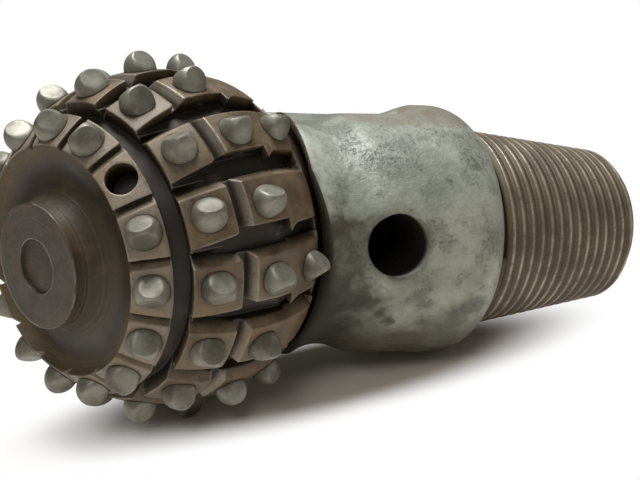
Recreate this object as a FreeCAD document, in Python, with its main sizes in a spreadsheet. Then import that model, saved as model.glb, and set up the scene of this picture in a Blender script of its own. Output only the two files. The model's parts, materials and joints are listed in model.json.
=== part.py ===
import FreeCAD, Part
import math
import os
import Sketcher
from FreeCAD import Placement, Rotation, Vector

os.makedirs("parts", exist_ok=True)
doc = FreeCAD.newDocument("rock_bit")

# Driving dimensions of the bit, in millimetres and degrees.
# "Station" means a distance from the centre of the cone's sphere along the journal, plus towards the nose.
# "Height" means a distance from the same centre along the bit's own axis, plus towards the threaded pin.
# "Polar" angles are measured at that centre from the journal axis, 0 at the nose.
DIMENSIONS = [
    ("bit_diameter", 142.9),
    ("cone_radius", 64.4),
    ("journal_angle", 30.0),
    ("nose_rim_radius", 41.0),
    ("boss_radius", 22.0),
    ("boss_station", 57.0),
    ("boss_recess_radius", 9.6),
    ("boss_recess_depth", 1.2),
    ("dish_radius", 10.4),
    ("cone_back_distance", 38.4),
    ("back_gap", 0.6),
    ("groove_one_polar", 54.5),
    ("groove_one_width", 6.6),
    ("groove_one_depth", 6.5),
    ("groove_two_polar", 73.8),
    ("groove_two_width", 2.6),
    ("groove_two_depth", 4.0),
    ("groove_two_slope", 3.0),
    ("bay_one_polar", 80.0),
    ("bay_one_depth", 7.0),
    ("bay_one_front", 24.5),
    ("bay_one_step", 9.0),
    ("bay_one_back", 14.3),
    ("bay_high_wall", 6.2),
    ("bay_front_wall", 1.6),
    ("bay_step_wall", 4.3),
    ("bay_low_wall", 2.1),
    ("bay_two_polar", 101.0),
    ("bay_two_depth", 6.2),
    ("bay_two_front", 10.0),
    ("bay_two_back", 9.5),
    ("bay_two_wall", 4.0),
    ("bay_round", 8.0),
    ("slope_wall", 0.6),
    ("slope_edge", 5.0),
    ("slope_depth", 6.0),
    ("slope_middle_polar", 82.5),
    ("slope_sweep", 51.0),
    ("notch_wall", 1.0),
    ("notch_edge", 2.6),
    ("notch_depth", 2.4),
    ("notch_sweep", 17.0),
    ("gauge_band_polar", 119.6),
    ("gauge_band_width", 25.6),
    ("gauge_band_depth", 0.8),
    ("places_round", 15.0),
    ("small_insert_radius", 5.5),
    ("large_insert_radius", 5.8),
    ("insert_seat_depth", 11.5),
    ("head_foot_height", 0.7),
    ("head_waist_height", 3.6),
    ("head_waist_share", 0.7),
    ("head_waist_setback", 0.25),
    ("crest_edge_drop", 0.6),
    ("crest_edge_half_width", 1.2),
    ("crest_edge_setback", 0.8),
    ("crest_half_width", 0.6),
    ("crest_setback", 1.6),
    ("row_one_polar", 45.8),
    ("row_two_polar", 65.0),
    ("row_three_polar", 85.2),
    ("row_four_polar", 103.0),
    ("journal_radius", 25.0),
    ("collar_radius", 34.6),
    ("collar_station", -32.0),
    ("ball_step_station", 8.4),
    ("pilot_radius", 15.0),
    ("pilot_end_station", 24.8),
    ("roller_radius", 5.0),
    ("roller_end_station", -9.4),
    ("roller_play", 0.5),
    ("ball_radius", 6.35),
    ("ball_ring_radius", 26.0),
    ("ball_bore_radius", 27.2),
    ("running_clearance", 0.05),
    ("bush_wall", 4.0),
    ("bush_end_station", 25.0),
    ("thrust_disc_radius", 12.0),
    ("thrust_disc_thickness", 2.6),
    ("cavity_end_station", 28.0),
    ("button_radius", 7.0),
    ("button_length", 9.0),
    ("button_stand", 0.55),
    ("leg_radius", 50.0),
    ("leg_back_radius", 63.0),
    ("leg_back_height", 14.0),
    ("leg_top_station", -110.0),
    ("clearance_radius", 73.0),
    ("clearance_polar", 107.6),
    ("close_clearance", 0.9),
    ("close_polar", 110.4),
    ("lip_radius", 49.5),
    ("lip_height", 46.0),
    ("neck_round", 26.0),
    ("port_band_radius", 50.0),
    ("port_band_height", 72.0),
    ("barrel_radius", 53.6),
    ("barrel_low_height", 101.0),
    ("barrel_high_height", 112.0),
    ("shoulder_height", 124.5),
    ("shoulder_face_radius", 48.0),
    ("shoulder_round", 16.0),
    ("flat_distance", 49.2),
    ("flat_end_height", 110.0),
    ("flat_run_out", 14.0),
    ("shank_turn", -11.0),
    ("port_radius", 12.0),
    ("port_height", 78.0),
    ("flow_bore_radius", 16.0),
    ("flow_bore_floor", 64.0),
    ("pin_base_radius", 44.45),
    ("pin_relief_depth", 3.4),
    ("pin_relief_length", 4.4),
    ("pin_length", 80.0),
    ("pin_taper", 0.25),
    ("thread_height", 2.99),
    ("pin_chamfer", 5.4),
    ("pin_chamfer_length", 4.6),
    ("ball_hole_radius", 6.7),
    ("ball_hole_angle", 62.6),
    ("ball_hole_offset", 19.0),
    ("ball_hole_overrun", 5.0),
    ("plug_clearance", 0.1),
    ("plug_length", 78.0),
    ("weld_radius", 8.6),
    ("cone_turn", 38.6),
    ("lie_tilt", 8.4442),
    ("lie_turn", -84.6705),
]

sheet = doc.addObject("Spreadsheet::Sheet", "Sizes")
for line, (alias, number) in enumerate(DIMENSIONS, start=1):
    sheet.set(f"A{line}", alias)
    sheet.set(f"B{line}", str(number))
    sheet.setAlias(f"B{line}", alias)
doc.recompute()


class Size:
    """A length or angle that carries both its number and the expression that gives it."""

    def __init__(self, number, text):
        self.number = number
        self.text = text

    def __add__(self, other):
        other = as_size(other)
        return Size(self.number + other.number, f"({self.text} + {other.text})")

    def __sub__(self, other):
        other = as_size(other)
        return Size(self.number - other.number, f"({self.text} - {other.text})")

    def __mul__(self, other):
        other = as_size(other)
        return Size(self.number * other.number, f"({self.text} * {other.text})")

    def __truediv__(self, other):
        other = as_size(other)
        return Size(self.number / other.number, f"({self.text} / {other.text})")

    def __neg__(self):
        return Size(-self.number, f"(0 - {self.text})")


def as_size(value):
    return value if isinstance(value, Size) else Size(float(value), str(float(value)))


def size(alias):
    return Size(float(sheet.get(alias)), f"Sizes.{alias}")


def sine(angle):
    return Size(math.sin(math.radians(angle.number)), f"sin({angle.text})")


def cosine(angle):
    return Size(math.cos(math.radians(angle.number)), f"cos({angle.text})")


def root(value):
    return Size(math.sqrt(value.number), f"sqrt({value.text})")


def plane_of(body, role):
    return next(item for item in body.Origin.OriginFeatures if item.Role == role)


def new_body(label):
    body = doc.addObject("PartDesign::Body", label)
    body.Label = label
    return body


def new_sketch(body, name, role="XZ_Plane", turn=None, axis=Vector(0, 0, 1), base=None):
    """A sketch on one of the body's own planes, turned by an angle about an axis of that plane and shifted."""
    sketch = body.newObject("Sketcher::SketchObject", name)
    sketch.AttachmentSupport = [(plane_of(body, role), "")]
    sketch.MapMode = "FlatFace"
    if turn is not None:
        sketch.AttachmentOffset = Placement(Vector(0, 0, 0), Rotation(axis, turn.number))
        sketch.setExpression("AttachmentOffset.Rotation.Angle", turn.text)
    if base is not None:
        for letter, part in zip("xyz", base):
            sketch.setExpression(f"AttachmentOffset.Base.{letter}", as_size(part).text)
    return sketch


def fix(sketch, edge, end, along, value):
    """Hold one end of an edge at a distance from the sketch's origin."""
    if abs(value.number) < 1e-9:
        sketch.addConstraint(Sketcher.Constraint("PointOnObject", edge, end, -2 if along == "X" else -1))
        return
    index = sketch.addConstraint(Sketcher.Constraint("Distance" + along, -1, 1, edge, end, value.number))
    sketch.setExpression(f"Constraints[{index}]", value.text)


def outline(sketch, corners, arcs=None):
    """Close a profile through the corners. A corner's coordinate that lies on an arc is given as a plain guess.
    arcs maps the number of an edge to (radius, centre on the sketch's origin or not, bulge side)."""
    arcs = arcs or {}
    count = len(corners)
    spots = [Vector(*[c.number if isinstance(c, Size) else float(c) for c in corner], 0) for corner in corners]
    for number in range(count):
        start, end = spots[number], spots[(number + 1) % count]
        if number not in arcs:
            sketch.addGeometry(Part.LineSegment(start, end), False)
            continue
        radius, at_origin, side = arcs[number]
        if at_origin:
            centre = Vector(0, 0, 0)
        else:
            half = (end - start) * 0.5
            rise = math.sqrt(max(radius.number ** 2 - half.Length ** 2, 0.0))
            centre = start + half + Vector(-half.y, half.x, 0).normalize() * rise * side
        first, last = (start, end) if side > 0 else (end, start)
        angles = [math.atan2(p.y - centre.y, p.x - centre.x) for p in (first, last)]
        circle = Part.Circle(centre, Vector(0, 0, 1), radius.number)
        sketch.addGeometry(Part.ArcOfCircle(circle, angles[0], angles[1]), False)
    ends = {number: (1, 2) if number not in arcs or arcs[number][2] > 0 else (2, 1) for number in range(count)}
    for number in range(count):
        following = (number + 1) % count
        sketch.addConstraint(
            Sketcher.Constraint("Coincident", number, ends[number][1], following, ends[following][0])
        )
    for number, corner in enumerate(corners):
        for along, value in zip("XY", corner):
            if isinstance(value, Size):
                fix(sketch, number, ends[number][0], along, value)
    for number, (radius, at_origin, side) in arcs.items():
        if at_origin:
            sketch.addConstraint(Sketcher.Constraint("Coincident", number, 3, -1, 1))
        index = sketch.addConstraint(Sketcher.Constraint("Radius", number, radius.number))
        sketch.setExpression(f"Constraints[{index}]", radius.text)


def circle_at(sketch, across, up, radius):
    sketch.addGeometry(Part.Circle(Vector(across.number, up.number, 0), Vector(0, 0, 1), radius.number), False)
    fix(sketch, 0, 3, "X", across)
    fix(sketch, 0, 3, "Y", up)
    index = sketch.addConstraint(Sketcher.Constraint("Radius", 0, radius.number))
    sketch.setExpression(f"Constraints[{index}]", radius.text)


def turned(body, kind, name, sketch):
    """Revolve or groove a full turn about the sketch's own vertical axis."""
    feature = body.newObject(f"PartDesign::{kind}", name)
    feature.Profile = sketch
    feature.ReferenceAxis = (sketch, ["V_Axis"])
    feature.Angle = 360
    doc.recompute()
    return feature


def cut(body, name, sketch, length, both_ways=False):
    """Pocket along the sketch's normal, away from its plane or the same way on both sides."""
    feature = body.newObject("PartDesign::Pocket", name)
    feature.Profile = sketch
    if both_ways:
        feature.SideType = "Symmetric"
    else:
        feature.Reversed = True
    feature.Length = length.number
    feature.setExpression("Length", length.text)
    doc.recompute()
    return feature


def repeat(body, name, features, occurrences, step=None):
    """Repeat features round the body's Z axis, by a step or evenly round the full turn."""
    pattern = body.newObject("PartDesign::PolarPattern", name)
    pattern.Originals = features
    pattern.Axis = (plane_of(body, "Z_Axis"), [""])
    pattern.Angle = 360
    if step is not None:
        sweep = step * (occurrences - 1)
        pattern.Angle = sweep.number
        pattern.setExpression("Angle", sweep.text)
    pattern.Occurrences = int(occurrences.number)
    pattern.setExpression("Occurrences", occurrences.text)
    body.Tip = pattern
    doc.recompute()
    return pattern


ORIGIN = as_size(0)
gauge_radius = size("bit_diameter") / 2
journal_turn = size("journal_angle") - 180
cone_back = -size("cone_back_distance")
leg_face = cone_back - size("back_gap")
roller_ring_radius = size("journal_radius") + size("running_clearance") + size("roller_radius")
roller_race_radius = roller_ring_radius + size("roller_radius") + size("running_clearance")
ball_race_radius = size("ball_radius") + size("running_clearance")
bush_bore = size("pilot_radius") + size("running_clearance")
bush_outside = bush_bore + size("bush_wall")
step_gap = size("roller_play")
cone_ball_step = size("ball_step_station") + step_gap
places = size("places_round")
half_place = as_size(180) / places


def on_sphere(radius, polar):
    return (radius * sine(polar), radius * cosine(polar))


# Cone shell: a sphere cut off at the nose and the back, with a dished nose round a flat-topped boss.
# Its inside carries the roller race, the ball race, the pilot bush seat and the thrust disc seat.
cone = new_body("cone_shell")
boss_top = size("boss_station")
recess_floor = boss_top - size("boss_recess_depth")
profile = new_sketch(cone, "cone_profile")
outline(
    profile,
    [
        (ORIGIN, size("cavity_end_station")),
        (size("thrust_disc_radius"), size("cavity_end_station")),
        (size("thrust_disc_radius"), size("bush_end_station")),
        (bush_outside, size("bush_end_station")),
        (bush_outside, cone_ball_step),
        (size("ball_bore_radius"), cone_ball_step),
        (size("ball_bore_radius"), size("roller_end_station") + step_gap),
        (roller_race_radius, size("roller_end_station") + step_gap),
        (roller_race_radius, cone_back),
        (math.sqrt(size("cone_radius").number ** 2 - cone_back.number ** 2), cone_back),
        (size("nose_rim_radius"), math.sqrt(size("cone_radius").number ** 2 - size("nose_rim_radius").number ** 2)),
        (size("boss_radius"), boss_top),
        (size("boss_recess_radius"), boss_top),
        (size("boss_recess_radius"), recess_floor),
        (ORIGIN, recess_floor),
    ],
    {9: (size("cone_radius"), True, 1), 10: (size("dish_radius"), False, -1)},
)
turned(cone, "Revolution", "cone_blank", profile)


def arc_angle(length):
    """The angle at the sphere's centre of a length along the cone's surface."""
    return length / size("cone_radius") * (180 / math.pi)


def ring_cut(name, polar, width, depth, slope):
    """A ring groove round the nose axis: a flat floor, and a side towards the back that slopes by a length."""
    floor = size("cone_radius") - depth
    rim = size("cone_radius") + depth
    half = arc_angle(width) / 2
    sketch = new_sketch(cone, name + "_profile")
    outline(
        sketch,
        [
            on_sphere(floor, polar - half),
            on_sphere(floor, polar + half),
            on_sphere(rim, polar + half + arc_angle(slope) * 2),
            on_sphere(rim, polar - half),
        ],
    )
    return turned(cone, "Groove", name, sketch)


ring_cut("ring_groove_one", size("groove_one_polar"), size("groove_one_width"), size("groove_one_depth"), ORIGIN)
ring_cut(
    "ring_groove_two", size("groove_two_polar"), size("groove_two_width"), size("groove_two_depth"),
    size("groove_two_slope"),
)

# Behind the last row the gauge band is turned a little lower than the pads.
gauge_band = new_sketch(cone, "gauge_band_profile")
band_floor = size("cone_radius") - size("gauge_band_depth")
band_start = size("gauge_band_polar") - arc_angle(size("gauge_band_width")) / 2
band_end = size("gauge_band_polar") + arc_angle(size("gauge_band_width")) / 2
outline(
    gauge_band,
    [
        on_sphere(band_floor, band_start),
        on_sphere(band_floor, band_end),
        on_sphere(size("cone_radius") * 1.2, band_end),
        on_sphere(size("cone_radius") * 1.2, band_start),
    ],
)
turned(cone, "Groove", "gauge_band", gauge_band)

# Milled slots part the columns of pads. Each is two bays from a cutter sunk square to the sphere.
# One wall of a slot is steep, and the other side is a slope that follows the sphere up to the next pads.
def facing_sketch(body, name, polar, around, reach):
    """A sketch square to the radius at a polar angle and a turn about the axis, X towards the cone's back."""
    sketch = new_sketch(body, name, "XY_Plane")
    across, up = on_sphere(reach, polar)
    turn = f"placement(vector(0; 0; 0); rotation(vector(0; 0; 1); {around.text}))"
    lean = f"placement(vector({across.text}; 0; {up.text}); rotation(vector(0; 1; 0); {polar.text}))"
    sketch.setExpression("AttachmentOffset", f"{turn} * {lean}")
    return sketch


high_wall, front_wall = size("bay_high_wall"), size("bay_front_wall")
step_wall, low_wall = size("bay_step_wall"), size("bay_low_wall")
front_low = size("slope_wall") - 0.1
bay_one = facing_sketch(
    cone, "bay_one_profile", size("bay_one_polar"), half_place, size("cone_radius") - size("bay_one_depth")
)
full_from = size("bay_one_step") - 4.5
outline(
    bay_one,
    [
        (-size("bay_one_front"), front_low),
        (-size("bay_one_step"), -low_wall),
        (size("bay_one_back"), -low_wall),
        (size("bay_one_back"), high_wall),
        (-full_from, high_wall),
        (-size("bay_one_step"), step_wall),
        (-size("bay_one_front"), front_wall),
    ],
    {4: (size("bay_round"), False, 1)},
)
bay_two = facing_sketch(
    cone, "bay_two_profile", size("bay_two_polar"), half_place, size("cone_radius") - size("bay_two_depth")
)
two_from = size("bay_two_front") - 8.0
two_low = low_wall * 0.6
outline(
    bay_two,
    [
        (-size("bay_two_front"), -two_low),
        (size("bay_two_back"), -two_low),
        (size("bay_two_back"), size("bay_two_wall")),
        (-two_from, size("bay_two_wall")),
        (-size("bay_two_front"), front_low),
    ],
    {3: (size("bay_round"), False, 1)},
)
bay_reach = size("bay_one_depth") * 4
bay_one_cut = cut(cone, "bay_one_cut", bay_one, bay_reach)
bay_two_cut = cut(cone, "bay_two_cut", bay_two, bay_reach)


def slope_cut(name, polar, sweep, wall, edge, depth):
    """A cut along a meridian with one steep wall and one slope, at the same depth all along the sphere."""
    sketch = new_sketch(cone, name + "_profile", "XY_Plane")
    turn = f"placement(vector(0; 0; 0); rotation(vector(0; 0; 1); {half_place.text}))"
    lean = f"placement(vector(0; 0; 0); rotation(vector(0; 1; 0); {polar.text}))"
    stand = "placement(vector(0; 0; 0); rotation(vector(1; 1; 1); 120))"
    sketch.setExpression("AttachmentOffset", f"{turn} * {lean} * {stand}")
    floor, rim = size("cone_radius") - depth, size("cone_radius") + depth
    outline(sketch, [(wall, floor), (wall, rim), (wall - (wall + edge) * 2, rim)])
    feature = cone.newObject("PartDesign::Groove", name)
    feature.Profile = sketch
    feature.ReferenceAxis = (sketch, ["H_Axis"])
    feature.Midplane = True
    feature.Angle = sweep.number
    feature.setExpression("Angle", sweep.text)
    doc.recompute()
    return feature


slot_slope = slope_cut(
    "slot_slope", size("slope_middle_polar"), size("slope_sweep"), size("slope_wall"), size("slope_edge"),
    size("slope_depth"),
)
slots = repeat(cone, "slots", [bay_one_cut, bay_two_cut, slot_slope], places)

# Shallow notches of the same kind part the pads of row one.
notch_middle = size("groove_one_polar") - size("notch_sweep") / 2
notch_cut = slope_cut(
    "notch_cut", notch_middle, size("notch_sweep"), size("notch_wall"), size("notch_edge"), size("notch_depth")
)
notches = repeat(cone, "notches", [notch_cut], places)

# Round sockets, one for each insert, point at the centre of the sphere.
socket_floor = size("cone_radius") - size("insert_seat_depth")
small, large = size("small_insert_radius"), size("large_insert_radius")
place_step = as_size(360) / places
every_second = (places - 1) / 2
ROWS = [
    ("one", size("row_one_polar"), places, place_step, small),
    ("two", size("row_two_polar"), places, place_step, large),
    ("three", size("row_three_polar"), places, place_step, large),
    ("four", size("row_four_polar"), every_second, place_step * 2, small),
]
for row, polar, count, step, radius in ROWS:
    across, up = on_sphere(socket_floor, polar)
    sketch = new_sketch(
        cone, f"socket_circle_{row}", "XY_Plane", turn=polar, axis=Vector(0, 1, 0), base=(across, 0, up)
    )
    circle_at(sketch, ORIGIN, ORIGIN, radius)
    socket = cut(cone, f"socket_{row}", sketch, size("insert_seat_depth") * 3)
    repeat(cone, f"sockets_{row}", [socket], count, None if count is places else step)

ball_race = new_sketch(cone, "ball_race_circle")
circle_at(ball_race, size("ball_ring_radius"), ORIGIN, ball_race_radius)
turned(cone, "Groove", "ball_race_cut", ball_race)

# One carbide insert: a round shank whose head runs smoothly from the round foot to a blunt narrow crest.
# Its Z axis points out of the cone and its crest lies along X, which is along the meridian.
head = gauge_radius - size("cone_radius")
seat = size("insert_seat_depth")


def oval(sketch, half_length, half_width):
    """An ellipse on the sketch's origin, long along its X axis."""
    sketch.addGeometry(Part.Ellipse(Vector(0, 0, 0), half_length.number, half_width.number), False)
    sketch.exposeInternalGeometry(0)
    sketch.addConstraint(Sketcher.Constraint("Coincident", 0, 3, -1, 1))
    sketch.addConstraint(Sketcher.Constraint("Horizontal", 1))
    for line, half in ((1, half_length), (2, half_width)):
        index = sketch.addConstraint(Sketcher.Constraint("Distance", line, half.number * 2))
        sketch.setExpression(f"Constraints[{index}]", f"({half.text} * 2)")


def make_insert(name, radius):
    insert = new_body(name)
    foot = size("head_foot_height")
    shank_profile = new_sketch(insert, name + "_shank_profile")
    outline(shank_profile, [(ORIGIN, -seat), (radius, -seat), (radius, foot), (ORIGIN, foot)])
    turned(insert, "Revolution", name + "_shank", shank_profile)
    round_foot = new_sketch(insert, name + "_foot", "XY_Plane", base=(0, 0, foot))
    circle_at(round_foot, ORIGIN, ORIGIN, radius)
    sections = []
    for place, height, half_length, half_width in (
        ("waist", size("head_waist_height"), radius - size("head_waist_setback"), radius * size("head_waist_share")),
        ("crest_edge", head - size("crest_edge_drop"), radius - size("crest_edge_setback"),
         size("crest_edge_half_width")),
        ("crest", head, radius - size("crest_setback"), size("crest_half_width")),
    ):
        section = new_sketch(insert, f"{name}_{place}", "XY_Plane", base=(0, 0, height))
        oval(section, half_length, half_width)
        sections.append(section)
    loft = insert.newObject("PartDesign::AdditiveLoft", name + "_head")
    loft.Profile = round_foot
    loft.Sections = sections
    doc.recompute()
    return insert


inserts = {small: make_insert("small_insert", small), large: make_insert("large_insert", large)}

# Lug: the leg, the shank with its shoulder and pin, and the journal are one forging.
lug = new_body("lug_body")
leg = new_sketch(lug, "leg_profile", turn=journal_turn)
outline(
    leg,
    [
        (ORIGIN, size("leg_top_station")),
        (size("leg_radius"), size("leg_top_station")),
        (size("leg_radius"), leg_face),
        (ORIGIN, leg_face),
    ],
)
turned(lug, "Revolution", "leg", leg)


def leg_trim(body, name):
    """Turn the back of the leg about the bit's axis, so that it tapers from the gauge side to the barrel."""
    sketch = new_sketch(body, name + "_profile")
    far = size("leg_back_radius") * 2
    outline(
        sketch,
        [
            (size("leg_back_radius"), -size("leg_back_radius")),
            (size("leg_back_radius"), size("leg_back_height")),
            (size("barrel_radius"), size("barrel_low_height")),
            (size("barrel_radius"), size("shoulder_height")),
            (far, size("shoulder_height")),
            (far, -size("leg_back_radius")),
        ],
    )
    return turned(body, "Groove", name, sketch)


leg_trim(lug, "leg_back")
# The pin is turned to the root of its thread, whose ridge stands the thread's height above it.
shank = new_sketch(lug, "shank_profile")
pin_base = size("shoulder_height")
pin_end = pin_base + size("pin_length")
relief_radius = size("pin_base_radius") - size("pin_relief_depth")
relief_top = pin_base + size("pin_relief_length")
root_radius = size("pin_base_radius") - size("thread_height")
root_start_radius = root_radius - size("pin_relief_length") * size("pin_taper") / 2
root_end_radius = root_radius - size("pin_length") * size("pin_taper") / 2
chamfer_rate = size("pin_chamfer") / size("pin_chamfer_length")
chamfer_start = size("pin_chamfer_length") - size("thread_height") / (chamfer_rate - size("pin_taper") / 2)
outline(
    shank,
    [
        (ORIGIN, size("lip_height")),
        (size("lip_radius"), size("lip_height")),
        (size("port_band_radius"), size("port_band_height")),
        (size("barrel_radius"), size("barrel_low_height")),
        (size("barrel_radius"), size("barrel_high_height")),
        (size("shoulder_face_radius"), pin_base),
        (relief_radius, pin_base),
        (relief_radius, relief_top),
        (root_start_radius, relief_top),
        (root_end_radius + chamfer_start * size("pin_taper") / 2, pin_end - chamfer_start),
        (root_end_radius + chamfer_start * size("pin_taper") / 2 - chamfer_start * chamfer_rate, pin_end),
        (ORIGIN, pin_end),
    ],
    {1: (size("neck_round"), False, -1), 4: (size("shoulder_round"), False, 1)},
)
turned(lug, "Revolution", "shank", shank)

flats = new_sketch(lug, "flat_profile", "YZ_Plane", turn=size("shank_turn"), axis=Vector(0, 1, 0))
flat_far = size("barrel_radius") * 2
flat_end = size("flat_end_height")
outline(
    flats,
    [
        (size("flat_distance"), -size("leg_radius")),
        (flat_far, -size("leg_radius")),
        (flat_far, flat_end),
        (size("flat_distance") + size("flat_run_out"), flat_end),
        (size("flat_distance"), flat_end - size("flat_run_out")),
    ],
    {3: (size("flat_run_out"), False, 1)},
)
flat_cut = cut(lug, "flat_cut", flats, flat_far * 2, both_ways=True)
repeat(lug, "both_flats", [flat_cut], as_size(2))

sweep = new_sketch(lug, "cone_sweep_profile", turn=journal_turn)
near_radius = size("cone_radius") + size("close_clearance")
near_across, near_up = on_sphere(near_radius, size("close_polar"))
wide_across, wide_up = on_sphere(size("clearance_radius"), size("clearance_polar"))
outline(
    sweep,
    [
        (ORIGIN, leg_face),
        (math.sqrt(near_radius.number ** 2 - leg_face.number ** 2), leg_face),
        (near_across.number, near_up),
        (wide_across.number, wide_up),
        (ORIGIN, size("clearance_radius").number),
    ],
    {1: (near_radius, True, 1), 3: (size("clearance_radius"), True, 1)},
)
turned(lug, "Groove", "cone_sweep", sweep)

journal = new_sketch(lug, "journal_profile", turn=journal_turn)
button_floor = size("pilot_end_station") - size("button_length") + size("button_stand")
outline(
    journal,
    [
        (ORIGIN, leg_face - 6),
        (size("collar_radius"), leg_face - 6),
        (size("collar_radius"), size("collar_station")),
        (size("journal_radius"), size("collar_station")),
        (size("journal_radius"), size("ball_step_station")),
        (size("pilot_radius"), size("ball_step_station")),
        (size("pilot_radius"), size("pilot_end_station")),
        (size("button_radius"), size("pilot_end_station")),
        (size("button_radius"), button_floor),
        (ORIGIN, button_floor),
    ],
)
turned(lug, "Revolution", "journal", journal)


def race_cut(body, name):
    sketch = new_sketch(body, name + "_circle", turn=journal_turn)
    circle_at(sketch, size("ball_ring_radius"), ORIGIN, ball_race_radius)
    return turned(body, "Groove", name, sketch)


race_cut(lug, "journal_ball_race")

flow = new_sketch(lug, "flow_bore_profile")
outline(
    flow,
    [
        (ORIGIN, size("flow_bore_floor")),
        (size("flow_bore_radius"), size("flow_bore_floor")),
        (size("flow_bore_radius"), pin_end + 1),
        (ORIGIN, pin_end + 1),
    ],
)
turned(lug, "Groove", "flow_bore", flow)
port = new_sketch(lug, "port_circle", "YZ_Plane", turn=size("shank_turn"), axis=Vector(0, 1, 0))
circle_at(port, ORIGIN, size("port_height"), size("port_radius"))
cut(lug, "wash_port", port, size("barrel_radius") * 1.5)

# The passage for loading the balls runs from the leg's back to the race, on the side that carries no load.
passage_base = (
    size("ball_hole_offset") * cosine(size("journal_angle")),
    size("ball_hole_offset") * sine(size("journal_angle")),
    0,
)
back_reach = size("leg_back_radius") * 1.7
weld_floor = size("plug_length") - size("ball_hole_overrun")


def passage_sketch(body, name, radius, low, high):
    sketch = new_sketch(body, name, turn=size("ball_hole_angle"), base=passage_base)
    outline(sketch, [(ORIGIN, low), (radius, low), (radius, high), (ORIGIN, high)])
    return sketch


hole = passage_sketch(lug, "ball_hole_profile", size("ball_hole_radius"), -size("ball_hole_overrun"), back_reach)
turned(lug, "Groove", "ball_hole", hole)
weld_seat = passage_sketch(lug, "weld_seat_profile", size("weld_radius"), weld_floor, back_reach)
turned(lug, "Groove", "weld_seat", weld_seat)

# Ball plug: the pin that closes the passage, ended to the shape of the race.
plug = new_body("ball_plug")
plug_radius = size("ball_hole_radius") - size("plug_clearance")
plug_bar = passage_sketch(plug, "plug_profile", plug_radius, -size("ball_hole_overrun"), weld_floor)
turned(plug, "Revolution", "plug_bar", plug_bar)
race_cut(plug, "plug_race_end")
trim = new_sketch(plug, "plug_trim_profile", turn=journal_turn)
outline(
    trim,
    [
        (size("journal_radius"), -size("journal_radius")),
        (size("leg_radius"), -size("journal_radius")),
        (size("leg_radius"), size("journal_radius")),
        (size("journal_radius"), size("journal_radius")),
    ],
)
turned(plug, "Groove", "plug_trim", trim)

# Plug weld: the bead that seals the plug, dressed level with the leg's back.
weld = new_body("plug_weld")
bead = passage_sketch(weld, "bead_profile", size("weld_radius"), weld_floor, back_reach)
turned(weld, "Revolution", "bead", bead)
leg_trim(weld, "bead_dressing")

# Pilot bush: a bronze sleeve pressed into the cone, which turns on the pilot journal.
bush = new_body("pilot_bush")
bush_start = cone_ball_step + 0.3
bush_profile = new_sketch(bush, "bush_profile")
outline(
    bush_profile,
    [
        (bush_bore, bush_start),
        (bush_outside, bush_start),
        (bush_outside, size("bush_end_station")),
        (bush_bore, size("bush_end_station")),
    ],
)
turned(bush, "Revolution", "bush_sleeve", bush_profile)

# Thrust disc: a hard washer in the bottom of the cone, against which the button bears.
disc = new_body("thrust_disc")
disc_face = size("cavity_end_station") - size("thrust_disc_thickness")
disc_profile = new_sketch(disc, "disc_profile")
outline(
    disc_profile,
    [
        (ORIGIN, disc_face),
        (size("thrust_disc_radius"), disc_face),
        (size("thrust_disc_radius"), size("cavity_end_station")),
        (ORIGIN, size("cavity_end_station")),
    ],
)
turned(disc, "Revolution", "disc_blank", disc_profile)

# Thrust button: a hard plug pressed into the journal's end.
button = new_body("thrust_button")
button_profile = new_sketch(button, "button_profile")
outline(
    button_profile,
    [
        (ORIGIN, button_floor),
        (size("button_radius"), button_floor),
        (size("button_radius"), button_floor + size("button_length")),
        (ORIGIN, button_floor + size("button_length")),
    ],
)
turned(button, "Revolution", "button_blank", button_profile)

# One main roller and one lock ball, each on its own axis.
roller = new_body("roller_pattern_piece")
roller_start = size("collar_station") + step_gap
roller_profile = new_sketch(roller, "roller_profile")
outline(
    roller_profile,
    [
        (ORIGIN, roller_start),
        (size("roller_radius"), roller_start),
        (size("roller_radius"), size("roller_end_station")),
        (ORIGIN, size("roller_end_station")),
    ],
)
turned(roller, "Revolution", "roller_blank", roller_profile)
ball = doc.addObject("Part::Sphere", "ball_pattern_piece")
ball.Radius = size("ball_radius").number
ball.setExpression("Radius", size("ball_radius").text)
doc.recompute()

# The bit lies on its cone and its shoulder: tilt and turn bring its own axis and the journal to that pose.
lying = Rotation(Vector(0, 1, 0), 90 + size("lie_tilt").number)
lying = lying.multiply(Rotation(Vector(0, 0, 1), size("lie_turn").number))
to_journal = Rotation(Vector(0, 1, 0), 180 - size("journal_angle").number)
bit_frame = Placement(Vector(0, 0, 0), lying)
journal_frame = bit_frame.multiply(Placement(Vector(0, 0, 0), to_journal))


def about(angle):
    return Placement(Vector(0, 0, 0), Rotation(Vector(0, 0, 1), angle))


subparts = []


def place(label, shape, placement):
    """Put one named piece of the assembly in place."""
    piece = doc.addObject("Part::Feature", label)
    piece.Label = label
    piece.Shape = shape
    piece.Placement = placement
    subparts.append(piece)
    return piece


def insert_at(polar, around):
    """Where an insert stands: its own Z axis along the radius, its crest along the meridian."""
    reach = size("cone_radius").number
    tip = Rotation(Vector(0, 1, 0), polar)
    return about(around).multiply(Placement(tip.multVec(Vector(0, 0, reach)), tip))


MISSING_PLACE = 8
cone_frame = journal_frame.multiply(about(size("cone_turn").number))
for row, polar, count, step, radius in ROWS:
    number_in_row = int(round(count.number))
    shapes = []
    for index in range(number_in_row):
        if row == "one" and index == MISSING_PLACE:
            continue
        copy = inserts[radius].Shape.copy()
        copy.Placement = insert_at(polar.number, step.number * index).multiply(copy.Placement)
        shapes.append(copy)
    place(f"inserts_row_{row}", Part.makeCompound(shapes), cone_frame)

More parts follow.
